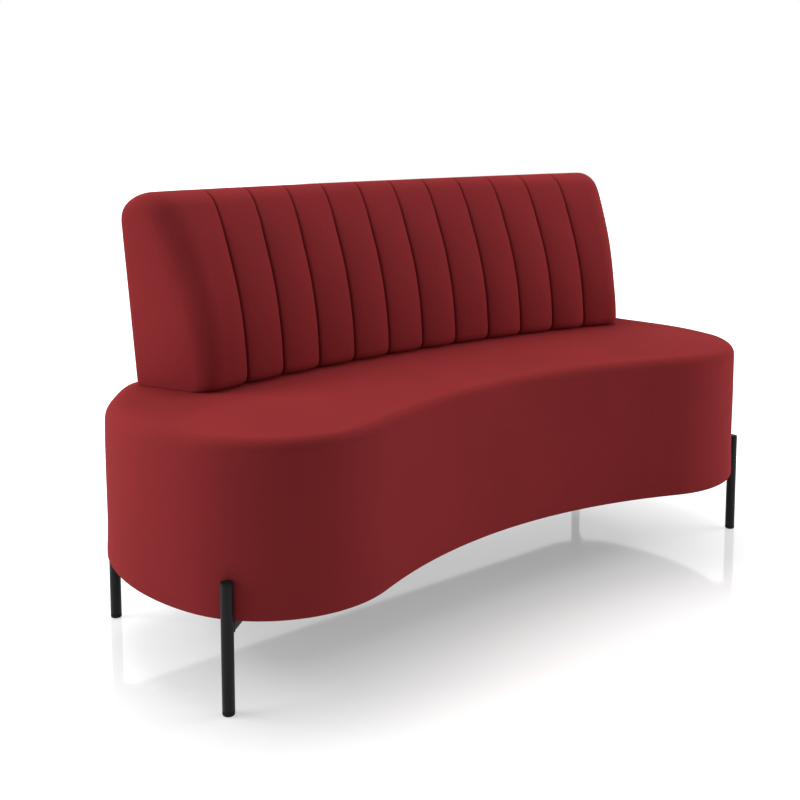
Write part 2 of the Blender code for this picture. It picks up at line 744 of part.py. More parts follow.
def make_arm(name, spot, inward, root, finish, holes):
    """Square tube from the leg inwards under the floor, its end shaped to the leg."""
    half = ARM_SIZE / 2
    middle = ARM_BOTTOM + half
    loops = []
    for x, reach in ((0, half), (ARM_LENGTH, half), (ARM_LENGTH, half - ARM_WALL), (0, half - ARM_WALL)):
        corners = ((-1, -1), (1, -1), (1, 1), (-1, 1))
        loops.append([Vector((x, reach * a, middle + reach * b)) for a, b in corners])
    arm = skin("leg_arm_" + name, loops, root, finish, ring=True)
    arm.location = (spot.x, spot.y, 0)
    arm.rotation_euler.z = inward
    saddle = turned([(LEG_DIAMETER / 2 + GAP, 0), (LEG_DIAMETER / 2 + GAP, LEG_TOP)])
    saddle = as_cutter(skin("leg_saddle_" + name, saddle, root))
    saddle.location = arm.location
    cut(arm, [saddle] + holes)


def make_screw_holes(name, spot, inward, root):
    """Cutters for the screws that run up through the arm and the dust cloth into the floor."""
    holes = []
    radius = SCREW_RADIUS + GAP
    for number, reach in enumerate(SCREW_PLACES, start=1):
        drill = [(radius, ARM_BOTTOM - SCREW_HEAD_HEIGHT), (radius, SCREW_TIP + GAP)]
        hole = skin("screw_hole_" + name + "_" + str(number), turned(drill, SCREW_SIDES), root)
        hole.location = (spot.x + reach * math.cos(inward), spot.y + reach * math.sin(inward), 0)
        holes.append(as_cutter(hole))
    return holes


def make_screws(name, spot, inward, root, finish):
    low = ARM_BOTTOM - GAP - SCREW_HEAD_HEIGHT
    seat = ARM_BOTTOM - GAP
    profile = [
        (SCREW_HEAD_RADIUS - SCREW_HEAD_HEIGHT / 2, low),
        (SCREW_HEAD_RADIUS, low + SCREW_HEAD_HEIGHT / 2),
        (SCREW_HEAD_RADIUS, seat),
        (SCREW_RADIUS, seat),
        (SCREW_RADIUS, SCREW_TIP - SCREW_RADIUS),
        (SCREW_RADIUS / 4, SCREW_TIP),
    ]
    for number, reach in enumerate(SCREW_PLACES, start=1):
        screw = skin("arm_screw_" + name + "_" + str(number), turned(profile, SCREW_SIDES), root, finish)
        screw.location = (spot.x + reach * math.cos(inward), spot.y + reach * math.sin(inward), 0)


def make_legs(root, finishes):
    """All four legs, and the cutters for their screws."""
    all_holes = []
    for name, spot, inward in leg_spots():
        make_leg(name, spot, root, finishes)
        holes = make_screw_holes(name, spot, inward, root)
        make_arm(name, spot, inward, root, finishes["black_steel"], holes)
        make_screws(name, spot, inward, root, finishes["zinc_steel"])
        all_holes += holes
    return all_holes


def main():
    clear_scene()
    finishes = {name: make_finish(name) for name in FINISHES}
    root = bpy.data.objects.new("sofa", None)
    bpy.context.scene.collection.objects.link(root)
    posts = make_post_cutters(root)
    screw_holes = make_legs(root, finishes)
    make_floor(root, finishes, screw_holes)
    make_rim(root, finishes["plywood"], posts)
    make_studs(root, finishes["pine"])
    make_wall(root, finishes)
    make_webbing(root, finishes["webbing"])
    make_seat_foam(root, finishes["foam"], posts)
    make_seat_cover(root, finishes["wine_cloth"], posts)
    make_posts(root, finishes)
    make_backrest(root, finishes, posts)


main()
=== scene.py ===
"""Looks of the two-seat sofa: covers, cloths, straps, legs, finishes, floor and light."""

import math

import bmesh
import bpy
from mathutils import Matrix, Vector, noise


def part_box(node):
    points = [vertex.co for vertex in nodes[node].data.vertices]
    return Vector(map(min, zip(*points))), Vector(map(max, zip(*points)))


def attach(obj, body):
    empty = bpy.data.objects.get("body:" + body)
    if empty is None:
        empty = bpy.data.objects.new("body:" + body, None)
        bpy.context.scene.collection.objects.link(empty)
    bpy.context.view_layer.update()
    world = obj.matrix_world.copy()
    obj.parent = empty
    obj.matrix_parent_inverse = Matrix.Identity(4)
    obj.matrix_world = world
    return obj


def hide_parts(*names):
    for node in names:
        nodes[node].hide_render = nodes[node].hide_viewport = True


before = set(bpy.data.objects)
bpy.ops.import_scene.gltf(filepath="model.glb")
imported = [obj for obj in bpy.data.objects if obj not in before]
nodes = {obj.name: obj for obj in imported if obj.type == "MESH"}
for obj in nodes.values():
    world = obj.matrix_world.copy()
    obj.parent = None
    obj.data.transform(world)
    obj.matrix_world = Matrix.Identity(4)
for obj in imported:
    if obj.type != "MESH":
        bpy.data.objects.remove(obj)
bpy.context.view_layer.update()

# Gap between pieces that rest on one another, in metres like every length here
GAP = 0.0003

# Small distances within which points are one, lie on a line, or lie by an edge
MERGE = 0.00001
SAME_SPOT = 0.00002
ON_LINE = 0.0001
CLOSE = 0.0005
NEAR = 0.001

# Plan of the base
HALF_LENGTH = 0.7135
HALF_DEPTH = 0.269
WAIST_INSET = 0.100
LOBE_RADIUS = 0.224
END_RADIUS = 0.449
CORNER_RADIUS = 0.140
END_CENTRE = Vector((HALF_LENGTH - END_RADIUS, 0.027))

# Steps of the plan along the waist, lobe, end, corner and half the back, and half a filled side
OUTLINE_STEPS = (24, 22, 18, 12, 33)
FILL_HALF = 43

# Heights and edges of the base
BASE_BOTTOM = 0.1485
SEAT_EDGE_HEIGHT = 0.4415
SEAT_CROWN = 0.0095
SEAT_TOP = SEAT_EDGE_HEIGHT + SEAT_CROWN
CROWN_RUN = 0.125
CROWN_REACH = 0.200
EDGE_RADIUS = 0.024
REAR_EDGE_RADIUS = 0.039
HEM_RADIUS = 0.005
HEM_WIDTH = 0.045
DUST_MARGIN = 0.010
DUST_TOP = BASE_BOTTOM - GAP
DUST_CLOTH = 0.0012
DUST_ROWS = (DUST_MARGIN, 0.016, 0.026, 0.040, 0.060)
DUST_SAG = 0.004
DUST_SAG_LENGTH = 0.26
DUST_SAG_DEPTH = 0.1
DUST_SAG_Y = 0.05

# Form of the backrest
REAR_HALF = 0.622
FRONT_HALF = 0.586
BACKREST_TOP = 0.801
BACKREST_FRONT = 0.107
BACKREST_THICKNESS = 0.1186
FLARE_SLOPE = (REAR_HALF - FRONT_HALF) / BACKREST_THICKNESS
END_SLOPE = 0.12
FRONT_HOLLOW = 0.068
REAR_HOLLOW = 0.020
REAR_LEAN = 0.032
RISE = BACKREST_TOP - SEAT_TOP
FRONT_SWEEP = 0.115
SWEEP_RADIUS = (RISE ** 2 + FRONT_SWEEP ** 2) / (2 * FRONT_SWEEP)
TOP_ROUNDING = 0.025
TOP_CORNER_RADIUS = 0.040
FRONT_CORNER_RUN = 0.062
FRONT_CORNER_DEPTH = 0.035
TOP_CORNER_DEPTH = 0.051
REAR_CORNER_RADIUS = 0.012
CORNER_SHARE = 0.8
BEZIER_RISE = 0.375
CHANNELS = 12
PITCH = 0.0912
LAST_SEAM = PITCH * (CHANNELS // 2 - 1)
CHANNEL_DEPTH = 0.010
CHANNEL_CURVE = 0.6
CHANNEL_FADE = 0.090
CHANNEL_LEFT = 0.25
BED_FADE = 0.060
BED_HALF = REAR_HALF - 0.017
BED_HELD = 0.8
FOOT = SEAT_TOP + GAP
FOOT_RADIUS = 0.020
REAR_FOOT_RADIUS = FOOT_RADIUS / 3
PANEL_MARGIN = 0.016
PANEL_OVER = 0.004

# Rows and columns of the backrest cover
LOW_SHARE = 0.062
LOW_ROWS = 6
CLIMB_ROWS = 30
CREST_ROWS = 12
FOOT_ROWS = 12
END_COLUMNS = 14

# Sewing of the backrest cover
SEAM_CREASE = 0.9
SEAM_WIDTH = 0.0018
SEAM_DEPTH = 0.0024
SEAM_REACH = 0.03
PUCKER_WIDTH = 0.012
PUCKER_DEPTH = 0.0004
REAR_HELD = 0.004
RECESS = 0.0036
RECESS_RUN = 0.005
RECESS_REACH = 0.008

# Soft waves in the covers: scale and height
BASE_WAVES = ((9, 0.0009), (26, 0.0003))
BASE_WAVE_START = 0.03
BACK_WAVE_SCALE = 14
BACK_WAVE = 0.0006
BACK_WAVE_RUN = 0.05

# Rear cloth and straps
REAR_CLOTH = 0.0018
REAR_CLOTH_COLUMNS = 150
REAR_CLOTH_ROWS = 44
SIDE_CROWDING = 0.35
TUCK = 0.0026
TUCK_RUN = 0.009
FULLNESS = 0.0012
FULLNESS_RUN = 0.09
STRAPS = 6
STRAP_THICKNESS = 0.0017
STRAP_SAG = 0.005
STRAP_EDGE = 0.0004
STRAP_EDGE_SHARE = 0.06

# Legs, arms and screws
LEG_RADIUS = 0.01025
LEG_TOP = 0.2175
LEG_CAP = 0.0025
GLIDE = 0.007
FRONT_LEG_ANGLE = math.radians(-38.6)
BACK_LEG_ANGLE = math.radians(57.3)
LEG_REACH = LEG_RADIUS + 0.0005
LEG_SIDES = 48
TUBE_ROUNDING = 0.0005
CAP_ROUNDING = 0.0014
GLIDE_ROUNDING = 0.0026
JOINT_ROUNDING = 0.0003
PRESS_FADE = 0.01
PRESS_REACH = 0.006
ARM_TOP = DUST_TOP - DUST_CLOTH - GAP
ARM_SIZE = 0.015
ARM_START = 0.0068
ARM_LENGTH = 0.190
ARM_ROUNDING = 0.0022
WELD_CUTS = 8
WELD_CUT_START = 0.0024
WELD_CUT_STEP = 0.0008
WELD_PLACE = 0.0122
WELD_HALF = 0.0032
WELD_SWELL = 0.17
WELD_RIPPLES = 26
ARM_SCREWS = 2
SCREW_SIDES = 24
SCREW_HEAD = 0.0035
SCREW_SHANK = 0.003
SCREW_TIP = 0.003
SCREW_RECESS = 0.0016

# How far the covers swell in the simulation, and how much smaller they start
BASE_SWELL = 0.0022
BACK_SWELL = 0.004
START_IN = 0.0015
SWELL_FRAMES = 20
EVENING = 20

# Painted light: the floor's glow, seen straight and in reflections, is least under the sofa, which
# paints in part of its shadow, and full well away from it
SHADE_OFFSET = (0.03, 0, 0)
SHADE_HALF = (0.42, 0.05, 0)
GLOW_START = 0.05
GLOW_END = 0.85
GLOW_LEAST = 0.28


def centre_inside_end(radius, y):
    """Centre, at the given y, of a circle that touches the end arc from inside."""
    reach = END_RADIUS - radius
    return Vector((END_CENTRE.x + math.sqrt(reach ** 2 - (y - END_CENTRE.y) ** 2), y))


LOBE_CENTRE = centre_inside_end(LOBE_RADIUS, LOBE_RADIUS - HALF_DEPTH)
CORNER_CENTRE = centre_inside_end(CORNER_RADIUS, HALF_DEPTH - CORNER_RADIUS)
WAIST_CHORD = LOBE_CENTRE.x ** 2 + (LOBE_RADIUS - WAIST_INSET) ** 2 - LOBE_RADIUS ** 2
WAIST_RADIUS = WAIST_CHORD / (2 * WAIST_INSET)
WAIST_CENTRE = Vector((0, WAIST_INSET - HALF_DEPTH - WAIST_RADIUS))


def ramp(share):
    """Smooth step from 0 to 1."""
    share = min(max(share, 0), 1)
    return share * share * (3 - 2 * share)


def between(first, last, steps):
    """Evenly spaced values, with both ends."""
    return [first + (last - first) * step / steps for step in range(steps + 1)]


def heading(vector):
    """Angle of a direction in plan."""
    return math.atan2(vector.y, vector.x)


# Making pieces


def finished(name, bm, material, slot, stands_for=()):
    """Piece made of a bmesh, riding on the frame in place of its CAD nodes."""
    bmesh.ops.remove_doubles(bm, verts=bm.verts, dist=MERGE)
    bmesh.ops.recalc_face_normals(bm, faces=bm.faces)
    mesh = bpy.data.meshes.new(name)
    bm.to_mesh(mesh)
    bm.free()
    for face in mesh.polygons:
        face.use_smooth = True
    mesh.materials.append(material)
    piece = bpy.data.objects.new(name, mesh)
    bpy.context.scene.collection.objects.link(piece)
    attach(piece, "root")
    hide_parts(*stands_for)
    return piece


def patch(columns, rows, place):
    """Grid of the given columns and rows, each vertex put where place says."""
    bm = bmesh.new()
    steps = {"x_segments": len(columns) - 1, "y_segments": len(rows) - 1}
    made = bmesh.ops.create_grid(bm, size=0.5, **steps)
    for vert in made["verts"]:
        column = columns[round((vert.co.x + 0.5) * (len(columns) - 1))]
        row = rows[round((vert.co.y + 0.5) * (len(rows) - 1))]
        vert.co = place(column, row)
    bmesh.ops.remove_doubles(bm, verts=bm.verts, dist=MERGE)
    return bm


def evened(mesh, moves, held):
    """Moves of the vertices, each evened with its neighbours', and none where held."""
    neighbours = [[] for vert in mesh.vertices]
    for edge in mesh.edges:
        first, second = edge.vertices
        neighbours[first].append(second)
        neighbours[second].append(first)
    held = set(held)
    for step in range(EVENING):
        last = moves
        moves = []
        for number, near in enumerate(neighbours):
            around = sum((last[other] for other in near), Vector()) / len(near)
            moves.append(Vector() if number in held else (last[number] + around) / 2)
    return moves


def swell(piece, held, limit):
    """Blows a padded cover up with its sewn and tacked points held, and applies the result."""
    group = piece.vertex_groups.new(name="held")
    group.add(held, 1.0, "REPLACE")
    cloth = piece.modifiers.new("swell", "CLOTH")
    cloth.settings.quality = 5
    cloth.settings.tension_stiffness = 15
    cloth.settings.compression_stiffness = 15
    cloth.settings.bending_stiffness = 1
    cloth.settings.use_pressure = True
    cloth.settings.uniform_pressure_force = 4
    cloth.settings.vertex_group_mass = "held"
    cloth.settings.effector_weights.gravity = 0
    cloth.collision_settings.use_collision = False
    scene = bpy.context.scene
    for number in range(1, SWELL_FRAMES + 1):
        scene.frame_set(number)
    blown = piece.evaluated_get(bpy.context.evaluated_depsgraph_get()).data
    moves = [blown.vertices[v.index].co - v.co for v in piece.data.vertices]
    piece.modifiers.remove(cloth)
    piece.vertex_groups.remove(group)
    scene.frame_set(1)
    capped = []
    for move in moves:
        length = max(move.length, 1e-9)
        capped.append(move * (limit * math.tanh(length / limit) / length))
    for vert, move in zip(piece.data.vertices, evened(piece.data, capped, held)):
        vert.co += move


def refine(piece):
    """One subdivision, applied."""
    smooth = piece.modifiers.new("refine", "SUBSURF")
    smooth.levels = 1
    smooth.render_levels = 1
    graph = bpy.context.evaluated_depsgraph_get()
    finer = bpy.data.meshes.new_from_object(piece.evaluated_get(graph))
    piece.modifiers.remove(smooth)
    coarse = piece.data
    piece.data = finer
    bpy.data.meshes.remove(coarse)


def outward(piece):
    """Each vertex with its normal as it was before any of them moved."""
    normals = [vert.normal.copy() for vert in piece.data.vertices]
    return zip(piece.data.vertices, normals)


# Base cover


def bean(waist, lobe, end, corner, back):
    """Outline of the base as (point, outward direction), once round from the waist's middle."""
    turn = heading(LOBE_CENTRE - WAIST_CENTRE)
    front = heading(LOBE_CENTRE - END_CENTRE)
    rear = heading(CORNER_CENTRE - END_CENTRE)
    arcs = [
        (WAIST_CENTRE, WAIST_RADIUS, math.pi / 2, turn, waist, -1),
        (LOBE_CENTRE, LOBE_RADIUS, turn - math.pi, front, lobe, 1),
        (END_CENTRE, END_RADIUS, front, rear, end, 1),
        (CORNER_CENTRE, CORNER_RADIUS, rear, math.pi / 2, corner, 1),
    ]
    right = []
    for centre, radius, first, last, steps, side in arcs:
        for angle in between(first, last, steps)[:-1]:
            out = Vector((math.cos(angle), math.sin(angle)))
            right.append((centre + out * radius, out * side))
    for x in between(CORNER_CENTRE.x, 0, back):
        right.append((Vector((x, HALF_DEPTH)), Vector((0, 1))))
    left = [(Vector((-p.x, p.y)), Vector((-out.x, out.y))) for p, out in right[1:-1]]
    return right + left[::-1] + right[:1]


def bean_fill(bm, outline, inset):
    """Fills a rim at an inset of the outline with quads that run from its front to its back."""
    count = len(outline) - 1
    rim = [e for e in bm.edges if e.is_boundary or e.is_wire]
    spots = {}
    for vert in {v for e in rim for v in e.verts}:
        offs = [(p - out * inset - vert.co.xy).length for p, out in outline[:-1]]
        if min(offs) < ON_LINE:
            spots[vert] = offs.index(min(offs))
    front = set(range(FILL_HALF + 1)) | set(range(count - FILL_HALF, count))
    rear = set(range(count // 2 - FILL_HALF, count // 2 + FILL_HALF + 1))
    chains = []
    for edge in rim:
        places = [spots.get(v) for v in edge.verts]
        if all(place in front for place in places) or all(place in rear for place in places):
            chains.append(edge)
    bmesh.ops.grid_fill(bm, edges=chains)


def level_bed(p):
    """1 under the backrest, where the seat stays level to its rear edge, fading to 0 around it."""
    along = 1 - ramp((abs(p.x) - BED_HALF) / BED_FADE)
    behind = ramp((p.y - BACKREST_FRONT + FRONT_HOLLOW + BED_FADE) / BED_FADE)
    return along * behind


def seat_height(p, inset):
    """Height of the seat at a plan point that lies an inset inside the outline."""
    share = ramp((inset - EDGE_RADIUS) / (CROWN_REACH - EDGE_RADIUS))
    z = SEAT_EDGE_HEIGHT - START_IN + SEAT_CROWN * share
    return z + (SEAT_TOP - z) * level_bed(p)


def edge_radius(out):
    """Rounding of the seat's edge: tight along the front, rounder at the ends and the rear."""
    return EDGE_RADIUS + (REAR_EDGE_RADIUS - EDGE_RADIUS) * ramp((out.y + 0.6) / 0.8)


def base_rows():
    """Rows of the cover from the turned-in hem up the wall and over the seat: kind and measure."""
    rows = [("hem", width) for width in (HEM_WIDTH, 0.030, 0.016)]
    rows += [("turn", angle) for angle in between(0, math.pi / 2, 3)]
    rows += [("wall", share) for share in between(0, 1, 18)[1:-1]]
    rows += [("edge", angle) for angle in between(0, math.pi / 2, 7)]
    rows += [("crown", share) for share in between(0, 1, 6)[1:]]
    return rows


def base_place(column, row):
    """Point of the cover at a point of the outline and a row's kind and measure."""
    p, out = column
    kind, measure = row
    edge = edge_radius(out)
    low = BASE_BOTTOM + HEM_RADIUS
    high = SEAT_EDGE_HEIGHT - edge
    if kind == "hem":
        inset, z = measure, BASE_BOTTOM
    elif kind == "turn":
        inset, z = HEM_RADIUS * (1 - math.sin(measure)), low - HEM_RADIUS * math.cos(measure)
    elif kind == "wall":
        inset, z = START_IN * ramp(measure * 4), low + (high - low) * measure
    elif kind == "edge":
        inset = START_IN + (edge - START_IN) * (1 - math.cos(measure))
        z = high + (edge - START_IN) * math.sin(measure)
    else:
        inset = edge + (CROWN_RUN - edge) * measure
        z = seat_height(p - out * inset, inset)
    q = p - out * inset
    if kind == "edge":
        z += (SEAT_CROWN + START_IN) * level_bed(q) * math.sin(measure)
    return Vector((q.x, q.y, z))


def leg_spots():
    """Axis of each leg in plan, and the direction from it in under the base."""
    spots = {}
    for end, centre, radius, angle in (
        ("front", LOBE_CENTRE, LOBE_RADIUS, FRONT_LEG_ANGLE),
        ("back", CORNER_CENTRE, CORNER_RADIUS, BACK_LEG_ANGLE),
    ):
        out = Vector((math.cos(angle), math.sin(angle)))
        spot = centre + out * (radius + LEG_REACH)
        spots[end + "_right"] = (spot, -out)
        spots[end + "_left"] = (Vector((-spot.x, spot.y)), Vector((out.x, -out.y)))
    return spots


def clear_of_legs(piece):
    """Presses the cover in where a leg stands against it."""
    for spot, inwards in leg_spots().values():
        for vert in piece.data.vertices:
            off = vert.co.xy - spot
            if vert.co.z < LEG_TOP + PRESS_FADE and off.length < LEG_REACH + PRESS_REACH:
                clear = LEG_REACH * (1 - ramp((vert.co.z - LEG_TOP) / PRESS_FADE))
                side = off - inwards * off.dot(inwards)
                need = math.sqrt(max(clear ** 2 - side.length_squared, 0))
                lack = need - off.dot(inwards)
                if lack > 0:
                    vert.co.xy += inwards * lack


def make_base_cover(material):
    """Padded cover of the base: seat, wall and turned-in hem."""
    outline = bean(*OUTLINE_STEPS)
    bm = patch(outline, base_rows(), base_place)
    bean_fill(bm, outline, CROWN_RUN)
    for vert in bm.verts:
        if vert.co.z > SEAT_EDGE_HEIGHT:
            inset = min((p - vert.co.xy).length for p, out in outline)
            if inset > CROWN_RUN:
                vert.co.z = seat_height(vert.co, inset)
    bean_fill(bm, outline, HEM_WIDTH)
    replaced = ("seat_cover", "seat_foam", "wall_foam_front", "wall_foam_back")
    piece = finished("base_cover", bm, material, "wine_cloth", replaced)
    held = []
    for vert in piece.data.vertices:
        over_wall = vert.co.z - SEAT_EDGE_HEIGHT + EDGE_RADIUS
        bed = level_bed(vert.co) if over_wall > 0 else 0
        shoulder = NEAR < over_wall < EDGE_RADIUS - START_IN + CLOSE
        if bed > BED_HELD or shoulder or vert.co.z < BASE_BOTTOM + HEM_RADIUS + NEAR:
            held.append(vert.index)
    swell(piece, held, BASE_SWELL)
    refine(piece)
    for vert, normal in outward(piece):
        if vert.co.z > BASE_BOTTOM + BASE_WAVE_START:
            wave = sum(noise.noise(vert.co * scale) * height for scale, height in BASE_WAVES)
            vert.co += normal * wave * (1 - level_bed(vert.co))
    clear_of_legs(piece)


# Backrest cover


def rear_y(s, z):
    """Y of the rear face in the section at s."""
    lean = REAR_LEAN * (z - SEAT_TOP) / RISE
    return BACKREST_FRONT + BACKREST_THICKNESS - REAR_HOLLOW * s * s + lean


def front_y(s, z):
    """Y of the front face in the section at s, swept back as it climbs."""
    climb = max(z - SEAT_TOP, 0)
    level = math.sqrt(SWEEP_RADIUS ** 2 - climb ** 2)
    return BACKREST_FRONT - FRONT_HOLLOW * s * s + SWEEP_RADIUS - level


def half_at(s, y):
    """Half length that the section at s is measured on: opened at the rear, drawn in in front."""
    opened = FLARE_SLOPE * s ** 4 * (y - BACKREST_FRONT)
    drawn_in = END_SLOPE * s ** 12 * (BACKREST_FRONT + BACKREST_THICKNESS - y)
    return FRONT_HALF + opened - drawn_in


def flared(s, y, z):
    """Point of the section at s, whose plane opens outwards to the rear, most at the ends."""
    return Vector((s * half_at(s, y), y, z))


def unflared(co):
    """Place along the backrest, from -1 to 1, of the section that a point lies in."""
    s = co.x / FRONT_HALF
    for step in range(8):
        s = co.x / half_at(min(abs(s), 1.02), co.y)
    return s


def rounded_in(distance, radius):
    """How far a rounded edge of that radius lies in, at a distance from it."""
    short = max(radius - max(distance, 0), 0)
    return radius - math.sqrt(radius ** 2 - short ** 2)


def from_seam(x):
    """Distance along the front to the nearest seam."""
    return abs(x - PITCH * min(max(round(x / PITCH), 1 - CHANNELS // 2), CHANNELS // 2 - 1))


def seam_pull(x):
    """How far the seams draw the front in at x."""
    across = min(from_seam(x) / PITCH, 0.5)
    return CHANNEL_DEPTH * (1 - (1 - (2 * across - 1) ** 2) ** CHANNEL_CURVE)


def back_faces(s, z):
    """Y of the front face, without its channels, and of the rear face, rounded at the ends."""
    end = (1 - abs(s)) * FRONT_HALF
    thick = rear_y(s, z) - front_y(s, z)
    depth = FRONT_CORNER_DEPTH + (TOP_CORNER_DEPTH - FRONT_CORNER_DEPTH) * (z - SEAT_TOP) / RISE
    held = min(1, CORNER_SHARE * thick / (depth + REAR_CORNER_RADIUS))
    front = front_y(s, z) + held * depth * rounded_in(end, FRONT_CORNER_RUN) / FRONT_CORNER_RUN
    return front, rear_y(s, z) - held * rounded_in(end, REAR_CORNER_RADIUS)


def crest_point(front, rear, cap, share):
    """Y and z along the rounded top, from the slope of the front over to the upright rear."""
    lean = math.asin((cap - SEAT_TOP) / SWEEP_RADIUS)
    arm = TOP_ROUNDING / (BEZIER_RISE * (1 + math.cos(lean)))
    slope = Vector((front + arm * math.sin(lean), cap + arm * math.cos(lean)))
    knots = [Vector((front, cap)), slope, Vector((rear, cap + arm)), Vector((rear, cap))]
    rest = 1 - share
    weights = (rest ** 3, 3 * rest ** 2 * share, 3 * rest * share ** 2, share ** 3)
    return sum((knot * weight for knot, weight in zip(knots, weights)), Vector((0, 0)))


def crest_foot(s):
    """Height at which the rounding of the top edge starts."""
    return BACKREST_TOP - TOP_ROUNDING - rounded_in((1 - abs(s)) * FRONT_HALF, TOP_CORNER_RADIUS)


def back_place(x, row):
    """Point of the backrest at a column's x and a row's kind and measure."""
    s = x / FRONT_HALF
    kind, measure = row
    cap = crest_foot(s)
    z = FOOT + (cap - FOOT) * measure
    pull = seam_pull(x)
    eased = pull * (1 - (1 - CHANNEL_LEFT) * ramp(1 + (z - cap) / CHANNEL_FADE))
    if kind == "front":
        y = back_faces(s, z)[0] + eased + rounded_in(z - FOOT, FOOT_RADIUS)
    elif kind == "rear":
        y = back_faces(s, z)[1] - rounded_in(z - FOOT, REAR_FOOT_RADIUS)
    elif kind == "crest":
        front, rear = back_faces(s, cap)
        y, z = crest_point(front + CHANNEL_LEFT * pull, rear, cap, measure)
    else:
        front, rear = back_faces(s, FOOT)
        near = front + pull + FOOT_RADIUS
        y = near + (rear - REAR_FOOT_RADIUS - near) * measure
        z = FOOT
    return flared(s, y, z)


def back_columns():
    """Places of the columns along the front, close together at the seams and round the ends."""
    shares = (0.0, 0.02, 0.06, 0.12, 0.19, 0.27, 0.35, 0.43)
    channel = list(shares) + [1 - share for share in (0.5,) + shares[:0:-1]]
    right = [PITCH * (number + share) for number in range(CHANNELS // 2 - 1) for share in channel]
    right += [LAST_SEAM + PITCH * share for share in channel[:9]]
    shoulder = right[-1]
    turns = between(0, math.pi / 2, END_COLUMNS)[1:]
    right += [shoulder + (FRONT_HALF - shoulder) * math.sin(turn) for turn in turns]
    return [-x for x in right[:0:-1]] + right


def back_rows():
    """Rows of the cover once round: up the front, over the crest, down the rear, under the foot."""
    low = [LOW_SHARE * (1 - math.cos(turn)) for turn in between(0, math.pi / 2, LOW_ROWS)]
    climb = low + between(low[-1], 1, CLIMB_ROWS)[1:]
    rows = [("front", share) for share in climb]
    rows += [("crest", share) for share in between(0, 1, CREST_ROWS)[1:-1]]
    rows += [("rear", share) for share in reversed(climb)]
    rows += [("foot", share) for share in between(1, 0, FOOT_ROWS)[1:-1]]
    return rows + rows[:1]


def close_ends(bm, columns, rows):
    """Fills the two ends of the backrest with quads that run from the front to the rear."""
    for x in (columns[0], columns[-1]):
        kinds = {}
        for row in rows:
            spot = back_place(x, row)
            for vert in bm.verts:
                if (vert.co - spot).length < SAME_SPOT:
                    kinds[vert] = row[0]
        ring = [e for e in bm.edges if e.is_boundary and all(v in kinds for v in e.verts)]
        chains = [e for e in ring if {kinds[v] for v in e.verts} in ({"front"}, {"rear"})]
        bmesh.ops.grid_fill(bm, edges=chains)


def on_seam(co):
    """Whether a point lies on one of the sewn lines up the front."""
    s = unflared(co)
    x = s * FRONT_HALF
    behind = co.y > (front_y(s, co.z) + rear_y(s, co.z)) / 2
    return abs(x) < LAST_SEAM + NEAR and from_seam(x) < ON_LINE and not behind


def seam_share(co):
    """1 up the front, falling over the crest to 0 at the rear edge."""
    s = unflared(co)
    cap = crest_foot(s)
    if co.z < cap:
        return 1.0 if co.y < (front_y(s, co.z) + rear_y(s, co.z)) / 2 else 0.0
    front, rear = back_faces(s, cap)
    return 1 - ramp((co.y - front) / (rear - front))


def panel_depth(s, z):
    """How far a point of the rear face lies inside the edge of the rear cloth."""
    side = (1 - abs(s)) * REAR_HALF - PANEL_MARGIN
    corner = TOP_CORNER_RADIUS - PANEL_MARGIN
    top = crest_foot(s) + PANEL_OVER - z
    if side < corner and top < corner:
        return corner - math.hypot(corner - side, corner - top)
    return min(side, top)


def make_back_cover(material):
    """Quilted cover of the backrest, drawn in at its seams."""
    columns = back_columns()
    rows = back_rows()
    bm = patch(columns, rows, back_place)
    close_ends(bm, columns, rows)
    crease = bm.edges.layers.float.new("crease_edge")
    for edge in bm.edges:
        if all(on_seam(v.co) for v in edge.verts):
            edge[crease] = SEAM_CREASE
    replaced = ("back_quilted_cover", "back_foam")
    piece = finished("backrest_cover", bm, material, "wine_cloth", replaced)
    held = []
    for vert in piece.data.vertices:
        s = unflared(vert.co)
        below_crest = vert.co.z < BACKREST_TOP - TOP_ROUNDING
        rear = below_crest and vert.co.y > rear_y(s, vert.co.z) - REAR_HELD
        if on_seam(vert.co) or rear or vert.co.z < FOOT + CLOSE:
            held.append(vert.index)
    swell(piece, held, BACK_SWELL)
    refine(piece)
    # Weight of the seam grooves on each vertex; the cloth's colour uses it for darker pile and
    # thread and for painted shade along the seams.
    sewn = piece.data.attributes.new("sewn", "FLOAT", "POINT")
    for vert, normal in outward(piece):
        s = unflared(vert.co)
        x = s * FRONT_HALF
        share = seam_share(vert.co) if abs(x) < LAST_SEAM + SEAM_REACH else 0
        off = from_seam(x)
        groove = math.exp(-((off / SEAM_WIDTH) ** 2)) * share
        crumple = noise.noise(Vector((x * 8, 0, vert.co.z * 75)))
        pucker = math.exp(-((off / PUCKER_WIDTH) ** 2)) * share * crumple
        before_rear = rear_y(s, vert.co.z) - vert.co.y
        rear = before_rear < RECESS_REACH
        recess = RECESS * ramp(panel_depth(s, vert.co.z) / RECESS_RUN) if rear else 0
        wave = noise.noise(vert.co * BACK_WAVE_SCALE) * BACK_WAVE
        soft = wave * ramp(before_rear / BACK_WAVE_RUN)
        # The groove's weight, which darkens the cloth colour: darker pile and thread, and painted
        # shade in the groove.
        sewn.data[vert.index].value = groove
        drawn = SEAM_DEPTH * groove + PUCKER_DEPTH * pucker
        vert.co -= normal * (drawn - soft * (1 - share * groove))
        vert.co.y -= recess
        vert.co.z = max(vert.co.z, FOOT)


